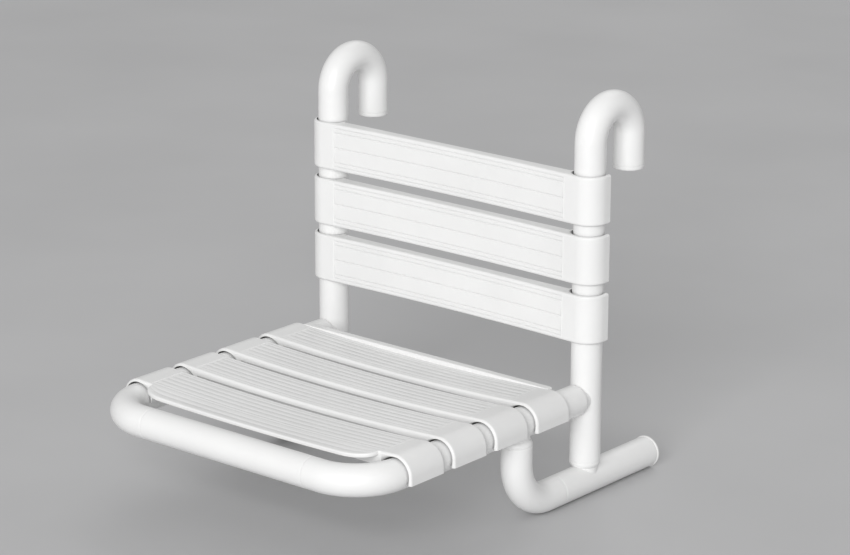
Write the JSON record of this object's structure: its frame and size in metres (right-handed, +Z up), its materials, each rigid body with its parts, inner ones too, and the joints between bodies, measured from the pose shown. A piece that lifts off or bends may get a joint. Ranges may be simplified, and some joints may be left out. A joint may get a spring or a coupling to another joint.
{
  "type": "hook-in shower seat",
  "caption": "White slatted shower seat with a low backrest on a bent tube frame; its hooked uprights hang over a wall rail and its brackets rest on the wall.",
  "frame": {"origin": "on the axis of the rail that the hooks hang on, midway between the hooks", "axes": "+X along the rail, +Y back to the wall, +Z up; the sitter faces -Y"},
  "size_m": [0.4044, 0.5005, 0.4442],
  "materials": {
    "tube_nylon": "semi-gloss",
    "cap_nylon": "semi-gloss",
    "pad_nylon": "satin",
    "core_steel": "drawn tube",
    "slat_nylon": "satin"
  },
  "bodies": {
    "root": {"front_bar": "tube_nylon", "left_upright_tube": "tube_nylon", "left_foot_collar": "tube_nylon", "left_arm_tube": "tube_nylon", "left_arm_neck": "tube_nylon", "left_corner_bend": "tube_nylon", "left_drop_collar": "tube_nylon", "left_drop_bend": "tube_nylon", "left_wall_tube": "tube_nylon", "right_upright_tube": "tube_nylon", "right_foot_collar": "tube_nylon", "right_arm_tube": "tube_nylon", "right_arm_neck": "tube_nylon", "right_corner_bend": "tube_nylon", "right_drop_collar": "tube_nylon", "right_drop_bend": "tube_nylon", "right_wall_tube": "tube_nylon", "left_hook_cap": "cap_nylon", "right_hook_cap": "cap_nylon", "left_wall_pad": "pad_nylon", "right_wall_pad": "pad_nylon", "seat_loop_core": "core_steel", "left_upright_core": "core_steel", "left_bracket_core": "core_steel", "right_upright_core": "core_steel", "right_bracket_core": "core_steel", "front_seat_slat": "slat_nylon", "second_seat_slat": "slat_nylon", "third_seat_slat": "slat_nylon", "rear_seat_slat": "slat_nylon", "top_back_slat": "slat_nylon", "middle_back_slat": "slat_nylon", "bottom_back_slat": "slat_nylon"}
  },
  "joints": []
}
